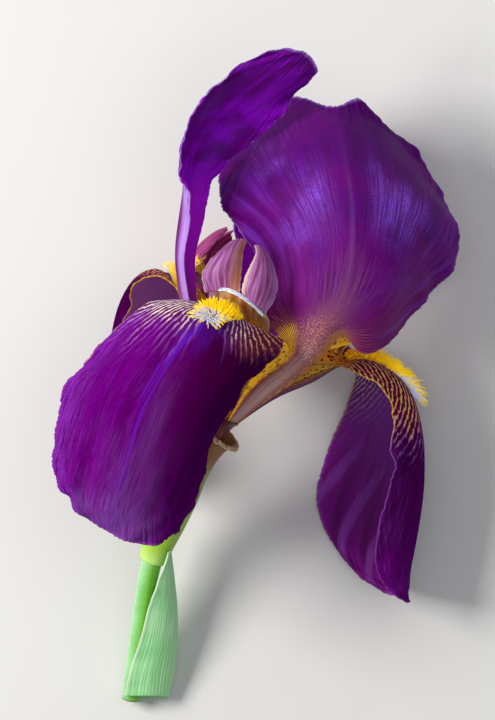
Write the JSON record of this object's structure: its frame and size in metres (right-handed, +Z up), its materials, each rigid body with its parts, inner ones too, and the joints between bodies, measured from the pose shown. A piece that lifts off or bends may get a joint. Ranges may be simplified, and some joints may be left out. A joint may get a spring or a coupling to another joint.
{
  "type": "bearded iris flower",
  "caption": "Cut bearded iris bloom lying on its back: arching falls with beards, domed standards, style arms, spathes and a short cut stem with a keeled bract.",
  "frame": {"origin": "on the surface that the flower lies on, under the middle of its bounding box", "axes": "+Y along the length, from the cut end of the stem to the tips of the standards; +Z up from the surface; +X to the side that the right fall hangs on"},
  "size_m": [0.1343, 0.2162, 0.1039],
  "materials": {
    "fall_petal": "velvety petal, red violet with a blue-violet midrib, cream and maroon stripes on the haft",
    "standard_petal": "silky petal, blue violet with fine fanning veins and a pinkish tan claw",
    "style_arm": "waxy lilac petal tissue with golden brown edges",
    "stamen": "matte cream, powdery",
    "beard_hair": "fine golden hairs, pale at their feet",
    "perianth_tube": "satin, maroon brown over green",
    "green_stem": "smooth satin green, faintly ribbed",
    "spathe": "green bract drying to tan paper at its tips",
    "leaf": "bluish green with parallel veins and a waxy bloom"
  },
  "bodies": {
    "root": {"front_fall": "fall_petal", "right_fall": "fall_petal", "back_fall": "fall_petal", "left_standard": "standard_petal", "right_standard": "standard_petal", "back_standard": "standard_petal", "front_style_arm": "style_arm", "right_style_arm": "style_arm", "back_style_arm": "style_arm", "front_stamen": "stamen", "right_stamen": "stamen", "back_stamen": "stamen", "front_beard": "beard_hair", "right_beard": "beard_hair", "back_beard": "beard_hair", "perianth_tube": "perianth_tube", "stem": "green_stem", "outer_spathe": "spathe", "inner_spathe": "spathe", "lower_leaf": "leaf"}
  },
  "joints": []
}
